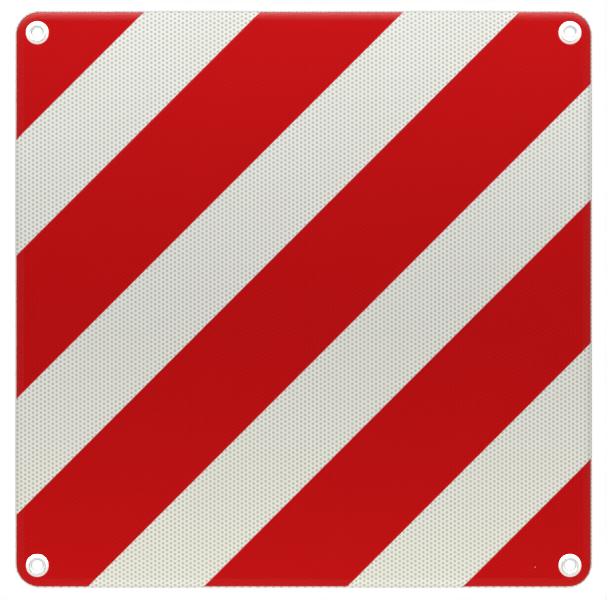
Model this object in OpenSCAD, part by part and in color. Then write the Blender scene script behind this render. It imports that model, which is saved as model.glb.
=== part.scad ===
// Overhanging load sign. A square aluminium plate has its edge turned back all round. White
// reflective sheeting covers its face and the bend, red stripes are printed on the sheeting, and
// an eyelet is rolled into each corner for the straps or screws that hold the sign.
// The sign stands upright with its face towards -Y. The origin is the centre of the four
// eyelets, on the plate's back. Sizes are in millimetres and angles in degrees.

/* [Panel] */
// Width of the panel over its outer edges
panel_w = 500; // [300:5:800]
// Height of the panel over its outer edges
panel_h = 500; // [300:5:800]
// Radius of the panel's corners
corner_r = 21; // [16:0.5:60]
// Thickness of the aluminium plate
plate_t = 1; // [0.6:0.1:3]

/* [Bent rim] */
// Inside radius of the bend that turns the edge back
rim_r = 8; // [5:0.5:14]
// Angle that the edge is turned back through
rim_angle = 70; // [30:1:75]

/* [Reflective sheeting] */
// Thickness of the white reflective sheeting
sheeting_t = 0.35; // [0.2:0.05:1]
// Bare plate left outside the sheeting, measured along the bend
sheeting_inset = 0.4; // [0.1:0.1:3]

/* [Red print] */
// Thickness of the red ink
ink_t = 0.1; // [0.05:0.01:0.3]
// White border between the red ink and the plate's edge, measured along the bend
ink_inset = 3; // [0.5:0.1:5]
// Width of a red stripe
red_w = 87.8; // [20:0.1:150]
// Width of a white stripe
white_w = 70.8; // [20:0.1:150]
// Slope of the stripes, which rise to the right
stripe_angle = 45; // [15:1:75]

/* [Eyelets] */
// Diameter of the clear hole through an eyelet
eyelet_bore = 9.5; // [6:0.1:16]
// Thickness of the metal that an eyelet is drawn from
eyelet_t = 0.5; // [0.3:0.05:0.7]
// Width of an eyelet's flange, from the hole to the rim
flange_w = 5.05; // [4.2:0.05:8]
// Height of the flange's crest above the print
crest_h = 1.3; // [0.9:0.05:2]
// Radius of the throat that leads from the crest into the hole
throat_r = 2; // [1.6:0.05:3.6]
// Straight length of barrel behind the plate
barrel_land = 0.8; // [0.3:0.1:2]
// Radius of the curl that holds the eyelet at the back
curl_r = 1.5; // [1:0.05:2.5]
// Clearance between the punched hole and the throat
hole_gap = 0.2; // [0.05:0.05:1]
// Least distance from the flange to the bend
flange_gap = 0.6; // [0.2:0.1:5]

/* [Hidden] */
$fn = 96;

// Cuts run this far past the faces that they go through
past = 1;

// Width of the bend as seen from the front, over the plate or the sheeting on it, whichever
// reaches further, and radius of the flat field's corners inside it
skin_r = rim_r + plate_t + sheeting_t;
skin_angle = rim_angle - sheeting_inset / skin_r * 180 / PI;
rim_w = max((rim_r + plate_t) * sin(rim_angle), skin_r * sin(skin_angle));
flat_corner_r = corner_r - rim_w;

// Height of the print's face above the plate's back: the flanges seat there
print_z = plate_t + sheeting_t;
face_z = print_z + ink_t;

// Distance from one red stripe to the next
stripe_pitch = red_w + white_w;

// An eyelet's section, measured outwards from its axis and forwards from its seat
bore_r = eyelet_bore / 2;
flange_r = bore_r + flange_w;
crest_r = bore_r + throat_r;
throat_z = crest_h - throat_r;
brow_w = flange_r - crest_r;
brow_r = (brow_w ^ 2 + crest_h ^ 2) / (2 * crest_h);
brow_z = crest_h - brow_r;
curl_z = min(throat_z, -face_z) - barrel_land;
lip_r = bore_r + 2 * curl_r;

// The hole is punched just wide enough to pass the throat at the print's face
hole_r = crest_r - sqrt((throat_r - eyelet_t) ^ 2 - throat_z ^ 2) + hole_gap;

// Each eyelet sits as far into its corner as its flange stays clear of the bend
side_inset = rim_w + flange_gap + flange_r;
eyelet_inset = max(side_inset, corner_r - (corner_r - side_inset) / sqrt(2));
eyelet_x = panel_w / 2 - eyelet_inset;
eyelet_y = panel_h / 2 - eyelet_inset;

// Stands what is drawn face up on its lower edge, with its face towards -Y
module upright() {
    rotate([90, 0, 0]) children();
}

// Section of one layer round the bend, drawn about the bend's centre. The layer starts at
// height base above the plate's back and ends short of the plate's edge by inset.
module rim_section(base, t, inset) {
    face_r = rim_r + base + t;
    end_angle = rim_angle - inset / face_r * 180 / PI;
    far = 2 * face_r;
    intersection() {
        difference() {
            circle(r = face_r);
            circle(r = rim_r + base);
        }
        polygon([
            [0, 0],
            [0, far],
            [far * tan(end_angle / 2), far],
            [far * sin(end_angle), far * cos(end_angle)]
        ]);
    }
}

// Section of one layer from a corner's axis outwards: its flat part and then its bend. A side's
// flat part starts further in, so that it laps the middle of the panel.
module edge_section(base, t, inset, lap = 0) {
    translate([-lap, base]) square([flat_corner_r + lap, t]);
    translate([flat_corner_r, -rim_r]) rim_section(base, t, inset);
}

// One layer of the panel, face up: the middle, and an edge that is straight along each side
// and turned round each corner
module layer(base, t, inset) {
    translate([0, 0, base])
        linear_extrude(t)
            square([panel_w - 2 * corner_r, panel_h - 2 * corner_r], center = true);
    for (side = [0:3]) {
        across = side % 2 == 0 ? panel_w : panel_h;
        along = side % 2 == 0 ? panel_h : panel_w;
        rotate([0, 0, 90 * side]) {
            translate([across / 2 - corner_r, 0, 0])
                rotate([90, 0, 0])
                    linear_extrude(along - 2 * corner_r, center = true)
                        edge_section(base, t, inset, corner_r);
            translate([across / 2 - corner_r, along / 2 - corner_r, 0])
                rotate_extrude(angle = 90) edge_section(base, t, inset);
        }
    }
}

// The red stripes as tall slabs. One is centred on the panel, and the others follow on both
// sides until they pass its corners.
module stripes() {
    reach = norm([panel_w, panel_h]);
    count = ceil(reach / 2 / stripe_pitch);
    translate([0, 0, -rim_r])
        linear_extrude(rim_r + face_z + past)
            rotate(stripe_angle)
                for (k = [-count:count])
                    translate([0, k * stripe_pitch]) square([reach, red_w], center = true);
}

// The four holes that are punched through plate, sheeting and print together
module punched_holes() {
    for (x = [-1, 1], y = [-1, 1])
        translate([x * eyelet_x, y * eyelet_y, -past])
            cylinder(r = hole_r, h = face_z + 2 * past);
}

// Quarter of a drawn wall, turned about the origin, on the side that across and up point to
module wall_quarter(r, across, up) {
    intersection() {
        difference() {
            circle(r = r);
            circle(r = r - eyelet_t);
        }
        translate([across < 0 ? -r : 0, up < 0 ? -r : 0]) square(r);
    }
}

// Section of an eyelet: a domed flange, a rounded throat, a straight barrel, and a curl whose
// lip bears on the plate's back
module eyelet_section() {
    intersection() {
        translate([crest_r, brow_z]) wall_quarter(brow_r, 1, 1);
        translate([crest_r, 0]) square([brow_w, crest_h]);
    }
    translate([crest_r, throat_z]) wall_quarter(throat_r, -1, 1);
    translate([bore_r, curl_z]) square([eyelet_t, throat_z - curl_z]);
    translate([bore_r + curl_r, curl_z]) {
        wall_quarter(curl_r, -1, -1);
        wall_quarter(curl_r, 1, -1);
    }
    translate([lip_r - eyelet_t, curl_z]) square([eyelet_t, -face_z - curl_z]);
}

// An eyelet, set at the left or right and at the top or bottom
module eyelet(side, level) {
    color([0.86, 0.86, 0.84]) upright()
        translate([side * eyelet_x, level * eyelet_y, face_z])
            rotate_extrude() eyelet_section();
}

module plate() {
    color([0.75, 0.76, 0.77]) upright() difference() {
        layer(0, plate_t, 0);
        punched_holes();
    }
}

module reflective_sheeting() {
    color([0.9, 0.9, 0.87]) upright() difference() {
        layer(plate_t, sheeting_t, sheeting_inset);
        punched_holes();
    }
}

module red_print() {
    color([0.72, 0.07, 0.08]) upright() difference() {
        intersection() {
            layer(print_z, ink_t, ink_inset);
            stripes();
        }
        punched_holes();
    }
}

plate();
reflective_sheeting();
red_print();
eyelet(-1, 1);  // eyelet_top_left
eyelet(1, 1);  // eyelet_top_right
eyelet(-1, -1);  // eyelet_bottom_left
eyelet(1, -1);  // eyelet_bottom_right
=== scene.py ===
# Overhanging load sign: a square aluminium panel with its edge bent back, white reflective
# sheeting, red printed stripes and an eyelet in each corner. Lengths are in metres, X runs to
# the right, Z up, and the striped face looks towards -Y.
import math

import bpy
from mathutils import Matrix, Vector


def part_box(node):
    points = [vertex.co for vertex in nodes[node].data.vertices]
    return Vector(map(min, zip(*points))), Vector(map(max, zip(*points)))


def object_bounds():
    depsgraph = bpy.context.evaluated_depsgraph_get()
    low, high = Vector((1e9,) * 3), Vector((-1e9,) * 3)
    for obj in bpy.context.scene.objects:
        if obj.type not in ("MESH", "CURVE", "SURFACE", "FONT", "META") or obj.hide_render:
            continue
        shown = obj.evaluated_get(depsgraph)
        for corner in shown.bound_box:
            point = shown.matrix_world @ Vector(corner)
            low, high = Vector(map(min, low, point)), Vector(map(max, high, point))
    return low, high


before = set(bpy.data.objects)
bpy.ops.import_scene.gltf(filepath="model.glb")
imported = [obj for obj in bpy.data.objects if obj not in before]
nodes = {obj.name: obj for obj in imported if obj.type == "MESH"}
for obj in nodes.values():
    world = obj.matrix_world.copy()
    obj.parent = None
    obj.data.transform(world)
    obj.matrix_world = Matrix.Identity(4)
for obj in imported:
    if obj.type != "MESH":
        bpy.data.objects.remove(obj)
cad_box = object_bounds()


# Plate
# One sheet of mill-finish aluminium, blanked with round corners and bent back all round. Only
# its back and its cut edge are bare, where the fine lines of the rolling mill run upright.
MM = 0.001

plate_metal = (196, 198, 200)
plate_dull = (172, 174, 177)
plate_roughness, plate_roughness_rise = 0.28, 0.2
rolling_line_w = 0.35 * MM
rolling_line_run = 60 * MM
rolling_detail = 3
rolling_depth = 0.004 * MM
cloud_w = 45 * MM
cloud_part = 0.6


class Reading:
    """A socket whose value can stand in a sum: each sign adds its Math node."""

    def __init__(self, paint, socket):
        self.paint = paint
        self.socket = socket

    def __add__(self, other):
        return self.paint.math("ADD", self, other)

    def __radd__(self, other):
        return self.paint.math("ADD", other, self)

    def __sub__(self, other):
        return self.paint.math("SUBTRACT", self, other)

    def __rsub__(self, other):
        return self.paint.math("SUBTRACT", other, self)

    def __mul__(self, other):
        return self.paint.math("MULTIPLY", self, other)

    def __rmul__(self, other):
        return self.paint.math("MULTIPLY", other, self)

    def __truediv__(self, other):
        return self.paint.math("DIVIDE", self, other)

    def __abs__(self):
        return self.paint.math("ABSOLUTE", self)


class Paint:
    """The nodes of one material, or of the world."""

    def __init__(self, owner):
        owner.use_nodes = True
        self.tree = owner.node_tree
        self.tree.nodes.clear()

    def node(self, kind, settings=None, inputs=None, output=0):
        """One node, of which the reading of one output is given back."""
        made = self.tree.nodes.new(kind)
        for name, value in (settings or {}).items():
            setattr(made, name, value)
        for name, value in (inputs or {}).items():
            if isinstance(value, Reading):
                self.tree.links.new(value.socket, made.inputs[name])
            else:
                made.inputs[name].default_value = value
        return Reading(self, made.outputs[output]) if len(made.outputs) else made

    def math(self, operation, *values):
        return self.node("ShaderNodeMath", {"operation": operation}, dict(enumerate(values)))

    def step(self, value, low, high):
        """0 where value is under low, 1 where it is over high, and a smooth rise between."""
        return self.node("ShaderNodeMapRange", {"interpolation_type": "SMOOTHSTEP"},
                         {"Value": value, "From Min": low, "From Max": high})

    def blend(self, share, low, high):
        """The colour low where share is 0 and the colour high where it is 1."""
        return self.node("ShaderNodeMix", {"data_type": "RGBA"}, {0: share, 6: low, 7: high}, 2)


def linear(colour):
    """A colour written in 0 to 255 steps, as the shader's linear values."""
    parts = [part / 255 for part in colour]
    return [(p / 12.92 if p < 0.04045 else ((p + 0.055) / 1.055) ** 2.4) for p in parts] + [1]


def place_in(paint, scale=(1, 1, 1)):
    """The surface's place on the panel, stretched by scale."""
    place = paint.node("ShaderNodeTexCoord", output="Object")
    return paint.node("ShaderNodeMapping", {}, {"Vector": place, "Scale": scale})


def grain(paint, width, detail=2, run=None):
    """Noise about width across, drawn out along Z over run where run is given."""
    stretch = (1 / width, 1 / width, 1 / (run or width))
    return paint.node("ShaderNodeTexNoise", {},
                      {"Vector": place_in(paint, stretch), "Scale": 1, "Detail": detail})


def finish(name, look):
    """A material made by look, which gets its paint and returns the surface shader."""
    material = bpy.data.materials.new(name)
    paint = Paint(material)
    paint.node("ShaderNodeOutputMaterial", {}, {"Surface": look(paint)})
    return material


def mill_aluminium(paint):
    lines = grain(paint, rolling_line_w, rolling_detail, rolling_line_run)
    clouds = grain(paint, cloud_w)
    dullness = cloud_part * clouds + (1 - cloud_part) * lines
    return paint.node("ShaderNodeBsdfPrincipled", {}, {
        "Base Color": paint.blend(dullness, linear(plate_metal), linear(plate_dull)),
        "Metallic": 1,
        "Roughness": plate_roughness + plate_roughness_rise * dullness,
        "Normal": paint.node("ShaderNodeBump", {}, {"Height": lines, "Distance": rolling_depth}),
    })


nodes["plate"].material_slots[0].material = finish("mill_aluminium", mill_aluminium)


# Reflective sheeting
# White honeycomb sheeting: a clear face film is sealed to the backing along the walls of small
# hexagonal cells. The cells look grey and the seals creamy. It is stuck on before the bending.
column_pitch = 3.41 * MM
cell_pitch = 3.83 * MM
cell_place = (1.25 * MM, 0, -0.4 * MM)
seal_w = 1.7 * MM
seal_blur = 0.7 * MM
seal_depth = 0.05 * MM
bead_w = 0.25 * MM
bead_shade = 0.93
bead_rise = 0.1

cell_grey = (187, 188, 182)
seal_cream = (225, 225, 218)
cloud_greying = 0.06
film_gloss = 0.08
film_roughness, film_roughness_rise = 0.17, 0.06


def cell_reach(paint):
    """How far out from the middle of its honeycomb cell a place lies: 0.5 is on a seal."""
    place = paint.node("ShaderNodeVectorMath", {"operation": "SUBTRACT"},
                       {0: paint.node("ShaderNodeTexCoord", output="Object"), 1: cell_place})
    across = paint.node("ShaderNodeSeparateXYZ", {}, {"Vector": place}, "X") / (2 * column_pitch)
    up = paint.node("ShaderNodeSeparateXYZ", {}, {"Vector": place}, "Z") / cell_pitch

    def every_other_column(shift):
        """The same for half of the columns, whose cells start at shift of their pitch."""
        u = abs(paint.math("FRACT", across + shift) - 0.5)
        v = abs(paint.math("FRACT", up + shift) - 0.5)
        return paint.math("MAXIMUM", v, 1.5 * u + 0.5 * v)

    return paint.math("MINIMUM", every_other_column(0), every_other_column(0.5))


def seal_share(paint):
    """1 on the seals between the cells and 0 inside the cells."""
    half = seal_w / 2 / cell_pitch
    blur = seal_blur / 2 / cell_pitch
    return paint.step(cell_reach(paint), 0.5 - half - blur, 0.5 - half + blur)


def honeycomb_film(paint):
    seal = seal_share(paint)
    beads = grain(paint, bead_w)
    clouds = grain(paint, cloud_w)
    cell = paint.blend(beads, linear([bead_shade * part for part in cell_grey]), linear(cell_grey))
    colour = paint.blend(seal, cell, linear(seal_cream))
    return paint.node("ShaderNodeBsdfPrincipled", {}, {
        "Base Color": paint.blend(cloud_greying * clouds, colour, linear(cell_grey)),
        "Roughness": film_roughness + film_roughness_rise * clouds,
        "Specular IOR Level": film_gloss,
        "Normal": paint.node("ShaderNodeBump", {}, {
            "Height": 1 - seal + bead_rise * beads, "Distance": seal_depth}),
    })


nodes["reflective_sheeting"].material_slots[0].material = finish("honeycomb_film", honeycomb_film)


# Red print
# Clear red screen ink, laid on the sheeting in three full stripes and two corner fields, and
# bent with it. The honeycomb shows through it, though only just. A pinhole in the ink near the
# lower right eyelet lets the white sheeting through.
ink_red = (184, 18, 20)
ink_deep = (176, 15, 17)
ink_seal_part = 0.75
ink_seal_depth = 0.02 * MM
pinhole_place = (200.3 * MM, 0, -231.7 * MM)
pinhole_from, pinhole_to = 0.2 * MM, 0.6 * MM
pinhole_share = 0.5


def red_ink(paint):
    seal = seal_share(paint)
    clouds = grain(paint, cloud_w)
    depth = ink_seal_part * seal + (1 - ink_seal_part) * clouds
    colour = paint.blend(depth, linear(ink_deep), linear(ink_red))
    from_pinhole = paint.node("ShaderNodeVectorMath", {"operation": "DISTANCE"},
                              {0: place_in(paint, (1, 0, 1)), 1: pinhole_place}, "Value")
    pinhole = 1 - paint.step(from_pinhole, pinhole_from, pinhole_to)
    return paint.node("ShaderNodeBsdfPrincipled", {}, {
        "Base Color": paint.blend(pinhole_share * pinhole, colour, linear(seal_cream)),
        "Roughness": film_roughness + film_roughness_rise * clouds,
        "Specular IOR Level": film_gloss,
        "Normal": paint.node("ShaderNodeBump", {}, {
            "Height": 1 - seal, "Distance": ink_seal_depth}),
    })


nodes["red_print"].material_slots[0].material = finish("red_ink", red_ink)


# Eyelets
# Four nickel-plated eyelets, drawn from thin brass. Their throats are painted darker and cooler
# than their flanges: painted shade, standing in for the dark bore that they mirror. Each is pushed
# through from the front and its barrel is rolled over at the back, which clamps plate,
# sheeting and print together.
nickel = (243, 241, 236)
nickel_worn = (232, 230, 225)
painted_throat_shade = (200, 210, 208)
nickel_roughness, nickel_roughness_rise = 0.28, 0.08
throat_from, throat_to = 5.6 * MM, 6.4 * MM
tool_mark_w = 0.4 * MM
eyelet_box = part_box("eyelet_top_right")
eyelet_middle = (eyelet_box[0] + eyelet_box[1]) / 2


def bright_nickel(paint):
    marks = grain(paint, tool_mark_w)
    place = paint.node("ShaderNodeTexCoord", output="Object")
    across = abs(paint.node("ShaderNodeSeparateXYZ", {}, {"Vector": place}, "X")) - eyelet_middle.x
    up = abs(paint.node("ShaderNodeSeparateXYZ", {}, {"Vector": place}, "Z")) - eyelet_middle.z
    # Inside throat_from the colour is painted shade: darker and cooler, standing in for the dark
    # bore that the throat mirrors.
    flange = paint.step(across * across + up * up, throat_from ** 2, throat_to ** 2)
    bright = paint.blend(marks, linear(nickel_worn), linear(nickel))
    return paint.node("ShaderNodeBsdfPrincipled", {}, {
        "Base Color": paint.blend(flange, linear(painted_throat_shade), bright),
        "Metallic": 1,
        "Roughness": nickel_roughness + nickel_roughness_rise * marks,
    })


nickel_finish = finish("bright_nickel", bright_nickel)
for level in ("top", "bottom"):
    for side in ("left", "right"):
        nodes[f"eyelet_{level}_{side}"].material_slots[0].material = nickel_finish


# Floor
# A pale studio floor below the hanging sign. It turns into the white of the background
# towards its rim, so that no edge of it shows, and it keeps the sign's shadow. The metal
# mirrors it as nearly white.
floor_z = -0.6
floor_r = 1.3
floor_points = 96
floor_white = (226, 226, 224)
fade_from, fade_to = 0.45 * floor_r, 0.98 * floor_r
middle_whiteness = 0.35
mirrored_whiteness = 0.85


def studio_floor(paint):
    seen = paint.node("ShaderNodeLightPath", output="Is Camera Ray")
    mirrored = paint.node("ShaderNodeLightPath", output="Is Glossy Ray")
    distance = paint.node("ShaderNodeVectorMath", {"operation": "LENGTH"},
                          {0: paint.node("ShaderNodeTexCoord", output="Object")}, "Value")
    fade = paint.step(distance, fade_from, fade_to)
    white = paint.node("ShaderNodeEmission", {}, {"Color": (1, 1, 1, 1), "Strength": 1})
    pale = paint.node("ShaderNodeBsdfDiffuse", {}, {"Color": linear(floor_white)})
    seen_whiteness = middle_whiteness + (1 - middle_whiteness) * fade
    whiteness = seen * seen_whiteness + mirrored_whiteness * mirrored
    return paint.node("ShaderNodeMixShader", {}, {0: whiteness, 1: pale, 2: white})


rim = [Vector((math.cos(a), math.sin(a), 0)) * floor_r
       for a in (math.tau * i / floor_points for i in range(floor_points))]
floor_mesh = bpy.data.meshes.new("studio_floor")
floor_mesh.from_pydata(rim, [], [range(len(rim))])
floor_mesh.materials.append(finish("studio_floor", studio_floor))
floor = bpy.data.objects.new("studio_floor", floor_mesh)
floor.location = (0, 0, floor_z)
bpy.context.collection.objects.link(floor)


# Light
# Two boxes far out in front, aside of what the face mirrors, light the stripes. A backdrop
# behind the sign lights its bent edge, and two long strips with grids lighten it towards its
# upper and its lower edge. A high box behind the sign lights the floor. The metal and the film
# mirror a tent, which is dark round the lens, dimmer behind and brightest overhead in front.
white_light = (1, 1, 1)
backdrop_diffuse = 1.2
backdrop_from, backdrop_to = -0.2, 0.2
tent_glossy = 1.1
lens_gap_from, lens_gap_to = math.radians(10), math.radians(24)
rear_dimming = 0.35
rear_from, rear_to = 0, 0.6
overhead_glossy = 14
overhead_from, overhead_to = -0.4, 0.1

world = bpy.data.worlds.new("studio")
bpy.context.scene.world = world
air = Paint(world)
ray = air.node("ShaderNodeTexCoord", output="Generated")
behind = air.node("ShaderNodeSeparateXYZ", {}, {"Vector": ray}, "Y")
in_front = 0 - behind
above = air.math("MAXIMUM", air.node("ShaderNodeSeparateXYZ", {}, {"Vector": ray}, "Z"), 0)
tent = 1 - air.step(in_front, math.cos(lens_gap_to), math.cos(lens_gap_from))
dimmed = 1 - rear_dimming * air.step(behind, rear_from, rear_to)
overhead = above * above * air.step(in_front, overhead_from, overhead_to)
glossy = tent_glossy * tent * dimmed + overhead_glossy * overhead
backdrop = backdrop_diffuse * air.step(behind, backdrop_from, backdrop_to)
seen = air.node("ShaderNodeLightPath", output="Is Camera Ray")
mirrored = air.node("ShaderNodeLightPath", output="Is Glossy Ray")
lit = mirrored * glossy + (1 - mirrored) * backdrop
air.node("ShaderNodeOutputWorld", {}, {"Surface": air.node("ShaderNodeBackground", {}, {
    "Color": (1, 1, 1, 1), "Strength": seen + (1 - seen) * lit})})


def soft_box(name, place, aim, width, height, watts, colour=white_light, spread=math.pi):
    """An area lamp, whose grid narrows its light to spread."""
    lamp = bpy.data.lights.new(name, "AREA")
    lamp.shape = "RECTANGLE"
    lamp.size, lamp.size_y = width, height
    lamp.energy = watts
    lamp.color = colour
    lamp.spread = spread
    box = bpy.data.objects.new(name, lamp)
    box.location = place
    box.rotation_euler = (Vector(aim) - Vector(place)).to_track_quat("-Z", "Y").to_euler()
    box.visible_camera = False
    box.visible_glossy = False
    bpy.context.collection.objects.link(box)


front_aside, front_ahead, front_size = 1.4, 3.4, 0.5
front_left_watts, front_right_watts = 62, 49
soft_box("front_left_box", (-front_aside, -front_ahead, 0), (0, 0, 0),
         front_size, front_size, front_left_watts)
soft_box("front_right_box", (front_aside, -front_ahead, 0), (0, 0, 0),
         front_size, front_size, front_right_watts)

floor_box_place, floor_box_size, floor_box_watts = (0, 1.2, 1.2), 1.0, 10
soft_box("floor_box", floor_box_place, floor.location, floor_box_size, floor_box_size,
         floor_box_watts)

strip_w, strip_h, strip_ahead = 2.0, 0.06, 1.2
upper_strip_z, upper_strip_end, upper_strip_watts = 0.6, -0.05, 3.4
lower_strip_z, lower_strip_end, lower_strip_watts = -0.55, 0, 1.2
lower_strip_cream = (1, 0.95, 0.55)


def grid_strip(name, height, dark_at, watts, colour):
    """A long level strip in front of the sign. Its grid keeps it off what lies past dark_at."""
    soft_box(name, (0, -strip_ahead, height), (0, 0, height), strip_w, strip_h, watts, colour,
             2 * math.atan(abs(height - dark_at) / strip_ahead))


grid_strip("upper_strip", upper_strip_z, upper_strip_end, upper_strip_watts, white_light)
grid_strip("lower_strip", lower_strip_z, lower_strip_end, lower_strip_watts, lower_strip_cream)


# Camera
# It looks straight at the middle of the sign, as in the photograph, whose frame is 607 by
# 600 pixels and shows the sign 578 pixels wide, a little above the middle.
image_w = 607
image_h = 600
sign_pixels = 578.4
sign_middle = (303.6, 299.3)
camera_distance = 2.4

frame_w = (cad_box[1].x - cad_box[0].x) * image_w / sign_pixels
pixel = frame_w / image_w
camera = bpy.data.cameras.new("camera")
camera.lens = camera.sensor_width * camera_distance / frame_w
eye = bpy.data.objects.new("camera", camera)
eye.location = (
    (image_w / 2 - sign_middle[0]) * pixel,
    cad_box[0].y - camera_distance,
    (sign_middle[1] - image_h / 2) * pixel,
)
eye.rotation_euler = (math.radians(90), 0, 0)
bpy.context.collection.objects.link(eye)
bpy.context.scene.camera = eye
bpy.context.scene.view_settings.view_transform = "Standard"
